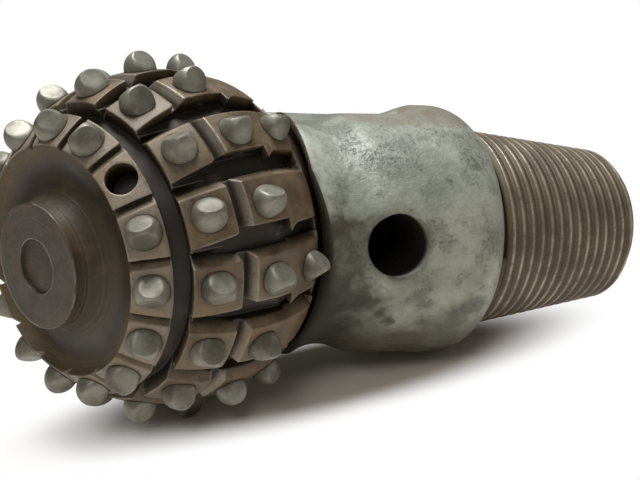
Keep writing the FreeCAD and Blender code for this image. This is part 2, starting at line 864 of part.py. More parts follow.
place("cone_shell_piece", cone.Shape.copy(), cone_frame)
place("pilot_bush_piece", bush.Shape.copy(), cone_frame)
place("thrust_disc_piece", disc.Shape.copy(), cone_frame)
place("thrust_button_piece", button.Shape.copy(), journal_frame)
place("lug_body_piece", lug.Shape.copy(), bit_frame)
place("ball_plug_piece", plug.Shape.copy(), bit_frame)
place("plug_weld_piece", weld.Shape.copy(), bit_frame)

ROLLERS = int(2 * math.pi * roller_ring_radius.number / (2 * size("roller_radius").number))
BALLS = int(2 * math.pi * size("ball_ring_radius").number / (2 * size("ball_radius").number))
for index in range(ROLLERS):
    spot = about(360.0 / ROLLERS * index).multiply(
        Placement(Vector(roller_ring_radius.number, 0, 0), Rotation())
    )
    place(f"main_roller_{index + 1:02d}", roller.Shape.copy(), journal_frame.multiply(spot))
for index in range(BALLS):
    spot = about(360.0 / BALLS * index).multiply(
        Placement(Vector(size("ball_ring_radius").number, 0, 0), Rotation())
    )
    place(f"lock_ball_{index + 1:02d}", ball.Shape.copy(), journal_frame.multiply(spot))
doc.recompute()

# The origin comes under the middle of the assembly, on the surface that it lies on.
whole = Part.makeCompound([piece.Shape for piece in subparts]).optimalBoundingBox(False)
shift = Vector(-(whole.XMin + whole.XMax) / 2, -(whole.YMin + whole.YMax) / 2, -whole.ZMin)
for piece in subparts:
    piece.Placement = Placement(shift, Rotation()).multiply(piece.Placement)
doc.recompute()

for item in doc.Objects:
    for state in ("Invalid", "Error"):
        if state in item.State:
            raise RuntimeError(f"{item.Label} failed: {item.State}")
for piece in subparts:
    if piece.Shape.isNull() or not piece.Shape.isValid():
        raise RuntimeError(f"{piece.Label} has no valid shape")
for piece in subparts:
    node = piece.Label.replace("_piece", "")
    piece.Shape.exportStep(f"parts/{node}.step")
    print(node, len(piece.Shape.Solids), round(piece.Shape.Volume, 1))
print("centre", bit_frame.Base + shift, "journal", journal_frame.Rotation.multVec(Vector(0, 0, 1)))
print("axis", bit_frame.Rotation.multVec(Vector(0, 0, 1)), "box", whole.XLength, whole.YLength, whole.ZLength)
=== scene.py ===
import json
import math

import bmesh
import bpy
from mathutils import Matrix, Vector


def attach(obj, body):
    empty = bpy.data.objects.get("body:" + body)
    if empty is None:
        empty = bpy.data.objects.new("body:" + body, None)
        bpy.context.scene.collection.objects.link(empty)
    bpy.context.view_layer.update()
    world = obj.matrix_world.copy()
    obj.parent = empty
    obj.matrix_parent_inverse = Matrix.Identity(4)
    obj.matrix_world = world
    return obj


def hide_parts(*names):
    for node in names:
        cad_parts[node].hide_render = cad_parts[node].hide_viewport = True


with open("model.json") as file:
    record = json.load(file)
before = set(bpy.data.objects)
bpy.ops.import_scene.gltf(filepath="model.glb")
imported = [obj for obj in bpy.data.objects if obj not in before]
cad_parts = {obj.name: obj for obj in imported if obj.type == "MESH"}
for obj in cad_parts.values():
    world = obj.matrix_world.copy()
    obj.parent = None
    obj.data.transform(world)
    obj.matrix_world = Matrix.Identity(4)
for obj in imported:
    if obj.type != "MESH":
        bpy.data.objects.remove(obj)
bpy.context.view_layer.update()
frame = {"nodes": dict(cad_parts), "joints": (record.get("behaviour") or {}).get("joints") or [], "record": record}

# Lug: one steel forging with the leg, the shank, the shoulder, the pin and the journal.
# The outside is cast-rough under thin grey-green paint, rubbed through and stained with rust.
# The side that faces the cone, the bores and the pin are bare machined steel gone brown.
spin = next(joint for joint in frame["joints"] if joint["name"] == "cone_spin")
mounts = {mount["name"]: mount for mount in frame["record"]["mounts"]}
cone_centre = Vector(spin["pos_m"])
nose_axis = Vector(spin["axis"]).normalized()
bit_axis = Vector(mounts["shoulder"]["axis"]).normalized()
SHOULDER_HEIGHT = (Vector(mounts["shoulder"]["pos_m"]) - cone_centre).dot(bit_axis) * 1000


def axes_along(z_axis, near):
    """Three directions at right angles: Z along z_axis, and X as near as it can be to the other one."""
    x_axis = (near - z_axis * near.dot(z_axis)).normalized()
    return Matrix((x_axis, z_axis.cross(x_axis), z_axis)).transposed()


bit_turn = axes_along(bit_axis, nose_axis)
cone_turn = axes_along(nose_axis, bit_axis)
MILLIMETRE = 0.001


def add(tree, kind, sockets=None, **settings):
    """One shader node: its settings, then each input by name or number, as a value or a node's output."""
    node = tree.nodes.new(kind)
    for key, value in settings.items():
        setattr(node, key, value)
    for key, value in (sockets or {}).items():
        if isinstance(value, bpy.types.NodeSocket):
            tree.links.new(value, node.inputs[key])
        else:
            node.inputs[key].default_value = value
    return node


def calc(tree, operation, first, second=0.0):
    """A number worked out by a Math node."""
    return add(tree, "ShaderNodeMath", {0: first, 1: second}, operation=operation).outputs[0]


def times(tree, first, second):
    """Two numbers multiplied."""
    return calc(tree, "MULTIPLY", first, second)


def vector_calc(tree, operation, first, second=(0, 0, 0)):
    """The outputs of a Vector Math node."""
    return add(tree, "ShaderNodeVectorMath", {0: first, 1: second}, operation=operation).outputs


def length_of(tree, vector):
    """How long a vector is."""
    return vector_calc(tree, "LENGTH", vector)["Value"]


def ramp(tree, value, start, end, low=0.0, high=1.0):
    """A soft step of a number, from low at start to high at end."""
    ends = {"Value": value, "From Min": start, "From Max": end, "To Min": low, "To Max": high}
    return add(tree, "ShaderNodeMapRange", ends, interpolation_type="SMOOTHSTEP").outputs["Result"]


# The Mix node has sockets of the same name for each kind of value. These are its colour ones.
MIX_FIRST, MIX_SECOND, MIX_RESULT = 6, 7, 2


def mix(tree, share, first, second):
    """Two colours mixed by a share."""
    sockets = {"Factor": share, MIX_FIRST: first, MIX_SECOND: second}
    return add(tree, "ShaderNodeMix", sockets, data_type="RGBA").outputs[MIX_RESULT]


def new_group(name, inputs, outputs):
    """A shader node group with named inputs, each at its usual value, and named outputs."""
    tree = bpy.data.node_groups.new(name, "ShaderNodeTree")
    for socket, value in inputs.items():
        kind = "NodeSocketFloat" if isinstance(value, float) else "NodeSocketVector"
        made = tree.interface.new_socket(socket, in_out="INPUT", socket_type=kind)
        if isinstance(value, float):
            made.default_value = value
    for socket, kind in outputs.items():
        tree.interface.new_socket(socket, in_out="OUTPUT", socket_type="NodeSocket" + kind)
    return tree, tree.nodes.new("NodeGroupInput").outputs, tree.nodes.new("NodeGroupOutput").inputs


def use_group(tree, group, **values):
    """A node group placed in a material with its own values, and what it puts out."""
    sockets = {key.replace("_", " "): value for key, value in values.items()}
    return add(tree, "ShaderNodeGroup", sockets, node_tree=group).outputs


# Edges: where a corner stands proud and rubs bright, and where a crease is shut in, darkened as painted shade with
# grime.
# Both are read from how open the metal is round a point, inside it and outside it.
CORNER_OPEN = (0.92, 0.55)
CREASE_OPEN = (0.95, 0.35)
edges_group, given, result = new_group(
    "edges", {"Reach": 0.0012, "Depth": 0.004}, {"Edge": "Float", "Crease": "Float"}
)
inner = add(
    edges_group, "ShaderNodeAmbientOcclusion", {"Distance": given["Reach"]},
    inside=True, only_local=True, samples=6,
)
outer = add(edges_group, "ShaderNodeAmbientOcclusion", {"Distance": given["Depth"]}, samples=6)
edges_group.links.new(ramp(edges_group, inner.outputs["AO"], *CORNER_OPEN), result["Edge"])
edges_group.links.new(ramp(edges_group, outer.outputs["AO"], *CREASE_OPEN), result["Crease"])

# Weather: broad cloudy stains, small dark specks and a fine height for the skin of old metal.
# The specks gather where a cloud is strong, and more of them show the higher their number is.
CLOUD_RANGE = (0.34, 0.66)
SPECK_BAR = 0.78
SPECK_GAIN = 0.26
SPECK_PULL = 0.22
SPECK_EDGE = (0.0, 0.09)
FINE_HEIGHT = 0.5
weather_group, given, result = new_group(
    "weather", {"Place": Vector(), "Cloud Size": 18.0, "Speck Size": 2.2, "Specks": 0.5},
    {"Cloud": "Float", "Speck": "Float", "Height": "Float"},
)
tree = weather_group
cloud = add(
    tree, "ShaderNodeTexNoise",
    {"Vector": given["Place"], "Scale": calc(tree, "DIVIDE", 1.0, given["Cloud Size"]), "Detail": 6.0,
     "Roughness": 0.62},
).outputs["Fac"]
fine = add(
    tree, "ShaderNodeTexNoise",
    {"Vector": given["Place"], "Scale": calc(tree, "DIVIDE", 1.0, given["Speck Size"]), "Detail": 5.0,
     "Roughness": 0.68},
).outputs["Fac"]
tree.links.new(ramp(tree, cloud, *CLOUD_RANGE), result["Cloud"])
bar = calc(tree, "SUBTRACT", SPECK_BAR, times(tree, given["Specks"], SPECK_GAIN))
near = calc(tree, "ADD", fine, times(tree, cloud, SPECK_PULL))
tree.links.new(ramp(tree, calc(tree, "SUBTRACT", near, bar), *SPECK_EDGE), result["Speck"])
tree.links.new(calc(tree, "ADD", times(tree, fine, FINE_HEIGHT), cloud), result["Height"])


def new_material(name, turn):
    """A material with its shader, and the place of each point from the cone's centre, in millimetres."""
    material = bpy.data.materials.new(name)
    material.use_nodes = True
    tree = material.node_tree
    tree.nodes.clear()
    shader = add(tree, "ShaderNodeBsdfPrincipled")
    add(tree, "ShaderNodeOutputMaterial", {"Surface": shader.outputs[0]})
    place = add(
        tree, "ShaderNodeMapping",
        {"Vector": add(tree, "ShaderNodeTexCoord").outputs["Object"], "Location": cone_centre,
         "Rotation": turn.to_euler(), "Scale": (MILLIMETRE, MILLIMETRE, MILLIMETRE)},
        vector_type="TEXTURE",
    )
    return material, tree, shader.inputs, place.outputs[0]


def off_axis(tree, apart):
    """How far a point is from the axis that its place is measured along."""
    return length_of(tree, add(tree, "ShaderNodeCombineXYZ", {0: apart[0], 1: apart[1]}).outputs[0])


def wear(piece, material):
    """Give a piece its one material, in each slot it has or in a new one."""
    if piece.material_slots:
        for held in piece.material_slots:
            held.material = material
    else:
        piece.data.materials.append(material)


# Its paint, from the clean coat to what lies on it. A range is a start and an end, in millimetres in the
# bit's frame or in shares of a mask, and may go on with the value at each. That frame's second axis is down.
PAINT = (0.182, 0.203, 0.164, 1)
PAINT_WORN = (0.330, 0.352, 0.292, 1)
PAINT_STAIN_AND_SHADE = (0.042, 0.035, 0.014, 1)
PAINT_HIGHLIGHT = (0.440, 0.475, 0.410, 1)
LIP_SHADOW_COLOUR = (0.016, 0.013, 0.007, 1)
SPECK = (0.058, 0.058, 0.044, 1)
RUST = (0.150, 0.098, 0.055, 1)
FLAT_BROWN = (0.185, 0.160, 0.115, 1)
LUG_INSIDE = (0.060, 0.052, 0.040, 1)
PIN_BROWN = (0.106, 0.078, 0.044, 1)
PIN_DARK = (0.068, 0.050, 0.027, 1)
STAIN_SHARE = 0.55
CLUSTER_SIZE = 17.0
CLUSTER_RANGE = (0.47, 0.60)
CLUSTER_SHARE = 0.30
SPECKS_IN_CLUSTERS = (0.0, 0.8, 0.14, 0.62)
FLAT_DISTANCE = 49.2
FLAT_RANGE = (FLAT_DISTANCE - 0.5, FLAT_DISTANCE - 0.05)
FLAT_WEAR = (0.0, 1.0, 0.45, 0.95)
CORNER_RUST = (0.2, 0.9, 0.0, 0.7)
RAGGED_MIDDLE = 0.5
RAGGED_REACH = 50.0
NECK_HEIGHT = (74.0, 64.0)
NECK_SIDE = (-24.0, -12.0)
UNDERSIDE = (0.0, 32.0, 0.0, 0.95)
DARKENING_CLOUDS = (0.0, 0.7, 0.72, 0.96)
LIP_HEIGHT = (58.0, 51.0)
LIP_UPPER_SIDE = (-16.0, -26.0, 0.0, 0.75)
LIP_CLOUDS = (0.1, 0.8, 0.9, 0.35)
LIP_FRONT = (8.0, 22.0)
LIP_SHADOW_HEIGHT = (74.0, 56.0)
LIP_SHADOW_SIDE = (-8.0, 16.0, 0.0, 0.94)
CREASE_SHADE_SHARE = 0.6
FACING_CONE = (-0.0005, -0.004)
CONE_SIDE_REACH = (90.0, 86.0)
PORT_PLACE = (0, 0, 78)
PORT_WAY = (math.cos(math.radians(-11)), math.sin(math.radians(-11)), 0)
PORT_EDGE = (12.5, 12.1)
PORT_DEPTH = (50.0, 46.0)
BORE_EDGE = (16.9, 16.1)
PIN_FOOT = (SHOULDER_HEIGHT - 0.4, SHOULDER_HEIGHT - 0.1)
LUG_METAL = (0.0, 1.0, 0.05, 0.60)
LUG_ROUGHNESS = (0.0, 1.0, 0.46, 0.36)
LIP_SHADOW_ROUGHNESS = 0.35
CAST_SIZE = 2.6
CAST_HEIGHT = 0.9
SPECK_PIT = -0.25
CAST_CORNER = 0.006
lug_paint, tree, shader, place = new_material("lug_paint", bit_turn)
apart = add(tree, "ShaderNodeSeparateXYZ", {0: place}).outputs
edges = use_group(tree, edges_group, Reach=0.0022, Depth=0.009)
weather = use_group(tree, weather_group, Place=place, Cloud_Size=24.0, Speck_Size=1.2, Specks=0.62)
stains = use_group(tree, weather_group, Place=place, Cloud_Size=15.0, Speck_Size=7.0, Specks=0.30)
clusters = add(
    tree, "ShaderNodeTexNoise", {"Vector": place, "Scale": 1 / CLUSTER_SIZE, "Detail": 3.0, "Roughness": 0.6}
).outputs["Fac"]
clustered = ramp(tree, clusters, *CLUSTER_RANGE)
paint = mix(tree, weather["Cloud"], PAINT, PAINT_WORN)
paint = mix(tree, times(tree, stains["Speck"], STAIN_SHARE), paint, PAINT_STAIN_AND_SHADE)
paint = mix(tree, times(tree, clustered, CLUSTER_SHARE), paint, SPECK)
specks = times(tree, weather["Speck"], ramp(tree, clustered, *SPECKS_IN_CLUSTERS))
paint = mix(tree, specks, paint, SPECK)
on_flat = ramp(tree, calc(tree, "ABSOLUTE", apart[1]), *FLAT_RANGE)
worn_flat = times(tree, on_flat, ramp(tree, stains["Cloud"], *FLAT_WEAR))
paint = mix(tree, worn_flat, paint, FLAT_BROWN)
rubbed = times(tree, edges["Edge"], ramp(tree, stains["Cloud"], *CORNER_RUST))
paint = mix(tree, rubbed, paint, RUST)
ragged = times(tree, calc(tree, "SUBTRACT", clusters, RAGGED_MIDDLE), RAGGED_REACH)
lower = calc(tree, "ADD", apart[1], ragged)
# Darker at the neck by the cone and towards the underside, in patches.
neck_and_underside_dark = times(
    tree, ramp(tree, calc(tree, "ADD", apart[2], ragged), *NECK_HEIGHT), ramp(tree, lower, *NECK_SIDE)
)
neck_and_underside_dark = calc(tree, "MAXIMUM", neck_and_underside_dark, ramp(tree, lower, *UNDERSIDE))
neck_and_underside_dark = times(tree, neck_and_underside_dark, ramp(tree, stains["Cloud"], *DARKENING_CLOUDS))
paint = mix(tree, neck_and_underside_dark, paint, PAINT_STAIN_AND_SHADE)
# Painted highlight: a pale streak on the upper side of the lip by the cone.
painted_lip_highlight = times(tree, ramp(tree, apart[2], *LIP_HEIGHT), ramp(tree, apart[1], *LIP_UPPER_SIDE))
painted_lip_highlight = times(tree, painted_lip_highlight, ramp(tree, stains["Cloud"], *LIP_CLOUDS))
painted_lip_highlight = times(tree, painted_lip_highlight, ramp(tree, apart[0], *LIP_FRONT))
paint = mix(tree, painted_lip_highlight, paint, PAINT_HIGHLIGHT)
# Painted shadow: the lug's lower side next to the cone, where the cone shades it, is painted near-black.
painted_lip_shadow = times(
    tree, ramp(tree, calc(tree, "ADD", apart[2], ragged), *LIP_SHADOW_HEIGHT), ramp(tree, lower, *LIP_SHADOW_SIDE)
)
paint = mix(tree, painted_lip_shadow, paint, LIP_SHADOW_COLOUR)
# Painted shade with grime: creases and hollows are darkened by how shut in they are.
paint = mix(tree, times(tree, edges["Crease"], CREASE_SHADE_SHARE), paint, PAINT_STAIN_AND_SHADE)
pin_steel = mix(tree, weather["Cloud"], PIN_BROWN, PIN_DARK)
coordinates = add(tree, "ShaderNodeTexCoord").outputs
from_cone = vector_calc(tree, "SUBTRACT", coordinates["Object"], cone_centre)[0]
facing = vector_calc(tree, "DOT_PRODUCT", from_cone, coordinates["Normal"])["Value"]
cone_side = ramp(tree, facing, *FACING_CONE)
machined = times(tree, cone_side, ramp(tree, length_of(tree, place), *CONE_SIDE_REACH))
port_offset = vector_calc(tree, "SUBTRACT", place, PORT_PLACE)[0]
from_port = length_of(tree, vector_calc(tree, "CROSS_PRODUCT", port_offset, PORT_WAY)[0])
across = off_axis(tree, apart)
in_port = times(tree, ramp(tree, from_port, *PORT_EDGE), ramp(tree, across, *PORT_DEPTH))
in_bore = calc(tree, "MAXIMUM", in_port, ramp(tree, across, *BORE_EDGE))
machined = calc(tree, "MAXIMUM", machined, in_bore)
on_pin = ramp(tree, apart[2], *PIN_FOOT)
colour = mix(tree, machined, paint, LUG_INSIDE)
colour = mix(tree, on_pin, colour, pin_steel)
tree.links.new(colour, shader["Base Color"])
bare = calc(tree, "MAXIMUM", on_pin, machined)
tree.links.new(ramp(tree, bare, *LUG_METAL), shader["Metallic"])
# The painted shadow is also made matt, so it shows no sheen.
painted_shadow_matt = times(tree, painted_lip_shadow, LIP_SHADOW_ROUGHNESS)
roughness = calc(tree, "ADD", ramp(tree, weather["Cloud"], *LUG_ROUGHNESS), painted_shadow_matt)
tree.links.new(roughness, shader["Roughness"])
cast = add(
    tree, "ShaderNodeTexNoise", {"Vector": place, "Scale": 1 / CAST_SIZE, "Detail": 4.0, "Roughness": 0.65}
).outputs["Fac"]
height = calc(tree, "ADD", times(tree, cast, CAST_HEIGHT), times(tree, specks, SPECK_PIT))
soft_corner = add(tree, "ShaderNodeBevel", {"Radius": CAST_CORNER}, samples=8).outputs[0]
skin = add(
    tree, "ShaderNodeBump", {"Height": height, "Strength": 0.5, "Distance": 0.0012, "Normal": soft_corner}
)
tree.links.new(skin.outputs[0], shader["Normal"])
wear(frame["nodes"]["lug_body"], lug_paint)

# Pin thread: a right-hand taper thread of five turns to the inch, cut on the pin's cone.
# Old grease and dirt fill it to just under its flat crests, which stand out as thin bright lines.
# Its sizes are in millimetres, with the height above the shoulder.
PITCH = 5.08
THREAD_HEIGHT = 2.99
CREST_WIDTH = 0.9
CREST_CORNER_WIDTH = 0.2
CREST_CORNER_DEPTH = 0.12
PACKED_DEPTH = 0.75
PACKED_EDGE_SHARE = 0.93
PIN_TAPER = 0.25
PIN_BASE_RADIUS = 44.45
PIN_LENGTH = 80.0
THREAD_START = 3.2
THREAD_END_GAP = 0.1
CHAMFER_LENGTH = 4.6
CHAMFER_DEPTH = 5.4
CHAMFER_GAP = 0.05
FOOT_SINK = 0.15
FOOT_OVERLAP = 0.05
RUN_IN_AHEAD = 0.2
RUN_IN_LENGTH = 0.9
RUN_OUT_GAP = 0.9
RUN_OUT_LENGTH = 0.8
STEPS_PER_TURN = 90


def crest_radius(height):
    """Radius of the thread's crest at a height above the shoulder."""
    return PIN_BASE_RADIUS - height * PIN_TAPER / 2


def share_between(value, length):
    """How far a value has gone along a length, held between 0 and 1."""
    return min(max(value / length, 0.0), 1.0)


def new_object(name, bm):
    """A new object at the origin with the mesh that has been made."""
    mesh = bpy.data.meshes.new(name)
    bm.to_mesh(mesh)
    bm.free()
    made = bpy.data.objects.new(name, mesh)
    bpy.context.scene.collection.objects.link(made)
    return made


turns = (PIN_LENGTH - THREAD_START - PITCH / 2 - THREAD_END_GAP) / PITCH
steps = int(turns * STEPS_PER_TURN)
start_radius = crest_radius(0)
foot_radius = start_radius - THREAD_HEIGHT - FOOT_SINK
packed_edge = PITCH / 4 + CREST_WIDTH / 4
one_side = [
    (foot_radius, PITCH / 2 + FOOT_OVERLAP),
    (start_radius - PACKED_DEPTH, PITCH / 2),
    (start_radius - PACKED_DEPTH * PACKED_EDGE_SHARE, packed_edge),
    (start_radius - CREST_CORNER_DEPTH, CREST_WIDTH / 2),
    (start_radius, CREST_WIDTH / 2 - CREST_CORNER_WIDTH),
]
section = [(radius, -along) for radius, along in one_side] + one_side[::-1]
bm = bmesh.new()
ring = [bm.verts.new((radius, 0, THREAD_START + along)) for radius, along in section]
profile_edges = [bm.edges.new((ring[i], ring[(i + 1) % len(ring)])) for i in range(len(ring))]
first_face = bm.faces.new(ring)
bmesh.ops.spin(
    bm, geom=ring + profile_edges + [first_face], cent=(0, 0, 0), axis=(0, 0, 1),
    dvec=(0, 0, turns * PITCH / steps), angle=math.tau * turns, steps=steps,
)
for vert in bm.verts:
    height = vert.co.z
    radial = Vector((vert.co.x, vert.co.y, 0))
    reach = radial.length
    run_in = share_between(height - THREAD_START + PITCH * RUN_IN_AHEAD, PITCH * RUN_IN_LENGTH)
    run_out = share_between(PIN_LENGTH - RUN_OUT_GAP - height, PITCH * RUN_OUT_LENGTH)
    foot = crest_radius(height) - THREAD_HEIGHT - FOOT_SINK
    new_reach = foot + (reach - foot_radius) * min(run_in, run_out)
    chamfer = crest_radius(PIN_LENGTH - CHAMFER_LENGTH) - CHAMFER_DEPTH - CHAMFER_GAP
    chamfer += (PIN_LENGTH - height) * CHAMFER_DEPTH / CHAMFER_LENGTH
    radial *= min(new_reach, chamfer) / reach
    vert.co.x, vert.co.y = radial.x, radial.y
    vert.co.z += SHOULDER_HEIGHT
bmesh.ops.recalc_face_normals(bm, faces=bm.faces)
to_world = Matrix.Translation(cone_centre) @ bit_turn.to_4x4() @ Matrix.Scale(MILLIMETRE, 4)
bmesh.ops.transform(bm, matrix=to_world, verts=bm.verts)
for face in bm.faces:
    face.smooth = len(face.verts) == 4
pin_thread = new_object("pin_thread", bm)
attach(pin_thread, "lug")

CREST_BRIGHT = (0.330, 0.290, 0.225, 1)
CREST_RANGE = (0.40, 0.06)
CREST_CLOUDS = (0.0, 1.0, 1.0, 0.35)
ROOT_RANGE = (1.0, 2.4)
THREAD_SPECKS = 0.7
THREAD_METAL = (0.0, 1.0, 0.15, 0.60)
THREAD_ROUGHNESS = (0.0, 1.0, 0.62, 0.46)
thread_steel, tree, shader, place = new_material("thread_steel", bit_turn)
apart = add(tree, "ShaderNodeSeparateXYZ", {0: place}).outputs
reach = off_axis(tree, apart)
fall = times(tree, calc(tree, "SUBTRACT", apart[2], SHOULDER_HEIGHT), PIN_TAPER / 2)
below_crest = calc(tree, "SUBTRACT", calc(tree, "SUBTRACT", PIN_BASE_RADIUS, fall), reach)
weather = use_group(tree, weather_group, Place=place, Cloud_Size=14.0, Speck_Size=1.4, Specks=0.5)
on_crest = ramp(tree, below_crest, *CREST_RANGE)
on_crest = times(tree, on_crest, ramp(tree, weather["Cloud"], *CREST_CLOUDS))
flank = mix(tree, weather["Cloud"], PIN_BROWN, PIN_DARK)
flank = mix(tree, ramp(tree, below_crest, *ROOT_RANGE), flank, PIN_DARK)
colour = mix(tree, on_crest, flank, CREST_BRIGHT)
colour = mix(tree, times(tree, weather["Speck"], THREAD_SPECKS), colour, PIN_DARK)
tree.links.new(colour, shader["Base Color"])
tree.links.new(ramp(tree, on_crest, *THREAD_METAL), shader["Metallic"])
tree.links.new(ramp(tree, on_crest, *THREAD_ROUGHNESS), shader["Roughness"])
skin = add(tree, "ShaderNodeBump", {"Height": weather["Height"], "Strength": 0.35, "Distance": 0.0003})
tree.links.new(skin.outputs[0], shader["Normal"])
wear(pin_thread, thread_steel)

# Thrust button, ball plug and weld bead: hard plugs and a weld set into the lug.
# The button is ground and polished, the plug is turned bar and the bead is ripple-welded and dressed.
HARD_STEEL = (0.56, 0.56, 0.57, 1)
HARD_SHADE = (0.40, 0.40, 0.41, 1)
PLUG_STEEL = (0.34, 0.33, 0.32, 1)
BEAD_STEEL = (0.20, 0.18, 0.16, 1)
GROUND_SPREAD = 0.12


def ground_metal(name, light, dark, turn, line_size, roughness):
    """Machined metal with fine turning lines round an axis and a little cloudiness."""
    material, tree, shader, place = new_material(name, turn)
    apart = add(tree, "ShaderNodeSeparateXYZ", {0: place}).outputs
    weather = use_group(tree, weather_group, Place=place, Cloud_Size=9.0, Speck_Size=0.8, Specks=0.1)
    lines = add(
        tree, "ShaderNodeTexNoise",
        {"Vector": add(tree, "ShaderNodeCombineXYZ", {0: apart[2]}).outputs[0], "Scale": 1 / line_size,
         "Detail": 3.0, "Roughness": 0.7},
    ).outputs["Fac"]
    share = times(tree, calc(tree, "ADD", weather["Cloud"], lines), 0.5)
    tree.links.new(mix(tree, share, light, dark), shader["Base Color"])
    shader["Metallic"].default_value = 1.0
    rough = ramp(tree, weather["Cloud"], 0.0, 1.0, roughness, roughness + GROUND_SPREAD)
    tree.links.new(rough, shader["Roughness"])
    skin = add(tree, "ShaderNodeBump", {"Height": lines, "Strength": 0.15, "Distance": 0.0001})
    tree.links.new(skin.outputs[0], shader["Normal"])
    return material


hard_steel = ground_metal("hard_steel", HARD_STEEL, HARD_SHADE, cone_turn, line_size=0.35, roughness=0.16)
plug_steel = ground_metal("plug_steel", PLUG_STEEL, HARD_SHADE, cone_turn, line_size=0.5, roughness=0.30)
bead_steel = ground_metal("bead_steel", BEAD_STEEL, PIN_DARK, bit_turn, line_size=1.6, roughness=0.42)
wear(frame["nodes"]["thrust_button"], hard_steel)
wear(frame["nodes"]["ball_plug"], plug_steel)
wear(frame["nodes"]["plug_weld"], bead_steel)

# Main rollers and lock balls: through-hardened bearing steel, ground all over.
# They stand side by side in two full rings round the journal, and the balls hold the cone on it.
for name, node in frame["nodes"].items():
    if name.startswith(("main_roller", "lock_ball")):
        wear(node, hard_steel)

# Cone shell: a forged steel sphere, turned, grooved and milled, then carburised brown.
# The nose dish keeps its turning rings and is darkened with painted shade towards its middle, the milled slots are
# darkened with painted shade and dirt, a painted highlight lies on one bevel, and the pads' corners are rubbed
# bare.
# Heights lie along its axis and skins are distances from its centre, in millimetres.
CONE_BROWN = (0.155, 0.114, 0.066, 1)
CONE_DARK = (0.080, 0.055, 0.028, 1)
CONE_GREY = (0.300, 0.258, 0.200, 1)
CONE_DIRT_AND_SHADE = (0.016, 0.011, 0.006, 1)
CONE_RUST = (0.185, 0.108, 0.048, 1)
CONE_BARE_AND_HIGHLIGHT = (0.430, 0.400, 0.350, 1)
DISH_BROWN = (0.102, 0.073, 0.035, 1)
DISH_SHADED = (0.030, 0.022, 0.011, 1)
RING_SLANT = 0.6
NOSE_HEIGHT = (44.5, 46.5)
DISH_SKIN = (64.1, 63.6)
SLOT_SKIN = (63.6, 60.2)
ROW_ONE_HEIGHT = (39.5, 41.5)
ROW_ONE_SKIN = (64.0, 64.3)
ROW_ONE_SHARE = 0.60
DISH_SHADE = (41.0, 28.0, 0.0, 0.80)
RING_SHARE = (0.46, 0.70, 0.0, 0.15)
CONE_SPECKS = 0.40
RUST_PATCHES = (0.50, 1.0)
RUST_SHARE = (0.0, 1.0, 0.42, 0.20)
CREASE_SHADE_AND_DIRT = 0.75
SLOT_SHADE_AND_DIRT = 0.92
CORNER_RUB = (0.1, 0.9, 0.50, 0.04)
CONE_METAL = (0.0, 1.0, 0.18, 0.80)
CONE_ROUGHNESS = (0.0, 1.0, 0.56, 0.44)
CONE_HEIGHT = 0.5
PAD_CORNER = 0.0011

# A painted highlight, a bright strip of bare-looking metal, lies on the bevel beside the second ring groove; it
# starts and ends so many degrees past the groove.
GROOVE_TWO_ANGLE = 73.8
BEVEL_START = (1.0, 1.5)
BEVEL_END = (4.6, 4.2)
BEVEL_SKIN = (60.6, 61.2)
BEVEL_HIGHLIGHT_SHARE = 0.45
BEVEL_HIGHLIGHT_METAL = 0.7
cone_steel, tree, shader, place = new_material("cone_steel", cone_turn)
apart = add(tree, "ShaderNodeSeparateXYZ", {0: place}).outputs
distance = length_of(tree, place)
from_axis = off_axis(tree, apart)
edges = use_group(tree, edges_group, Reach=0.0008, Depth=0.0045)
weather = use_group(tree, weather_group, Place=place, Cloud_Size=11.0, Speck_Size=1.5, Specks=0.42)
patches = use_group(tree, weather_group, Place=place, Cloud_Size=9.0, Speck_Size=0.8, Specks=0.2)
ring_height = times(tree, apart[2], RING_SLANT)
ring_place = add(tree, "ShaderNodeCombineXYZ", {0: from_axis, 1: ring_height}).outputs[0]
rings = add(
    tree, "ShaderNodeTexNoise", {"Vector": ring_place, "Scale": 1.9, "Detail": 4.0, "Roughness": 0.75}
).outputs["Fac"]
nose_side = ramp(tree, apart[2], *NOSE_HEIGHT)
in_dish = times(tree, ramp(tree, distance, *DISH_SKIN), nose_side)
in_slot = times(tree, ramp(tree, distance, *SLOT_SKIN), calc(tree, "SUBTRACT", 1.0, nose_side))
colour = mix(tree, weather["Cloud"], CONE_BROWN, CONE_DARK)
row_one_band = times(tree, ramp(tree, apart[2], *ROW_ONE_HEIGHT), ramp(tree, distance, *ROW_ONE_SKIN))
colour = mix(tree, times(tree, row_one_band, ROW_ONE_SHARE), colour, CONE_GREY)
# Painted shade: the dish is darkened towards its middle and over the boss.
dish = mix(tree, ramp(tree, from_axis, *DISH_SHADE), DISH_BROWN, DISH_SHADED)
colour = mix(tree, in_dish, colour, dish)
colour = mix(tree, times(tree, ramp(tree, rings, *RING_SHARE), in_dish), colour, CONE_GREY)
polar = calc(tree, "DEGREES", calc(tree, "ARCTAN2", from_axis, apart[2]))
# Painted highlight on the bevel beside the second ring groove.
past_groove = calc(tree, "SUBTRACT", polar, GROOVE_TWO_ANGLE)
painted_bevel_highlight = times(tree, ramp(tree, past_groove, *BEVEL_START), ramp(tree, past_groove, *BEVEL_END))
painted_bevel_highlight = times(tree, painted_bevel_highlight, ramp(tree, distance, *BEVEL_SKIN))
colour = mix(tree, times(tree, painted_bevel_highlight, BEVEL_HIGHLIGHT_SHARE), colour, CONE_BARE_AND_HIGHLIGHT)
colour = mix(tree, times(tree, weather["Speck"], CONE_SPECKS), colour, CONE_DIRT_AND_SHADE)
old_rust = times(tree, ramp(tree, patches["Cloud"], *RUST_PATCHES), ramp(tree, in_dish, *RUST_SHARE))
colour = mix(tree, old_rust, colour, CONE_RUST)
# Painted shade with grime: creases are darkened by how shut in they are.
colour = mix(tree, times(tree, edges["Crease"], CREASE_SHADE_AND_DIRT), colour, CONE_DIRT_AND_SHADE)
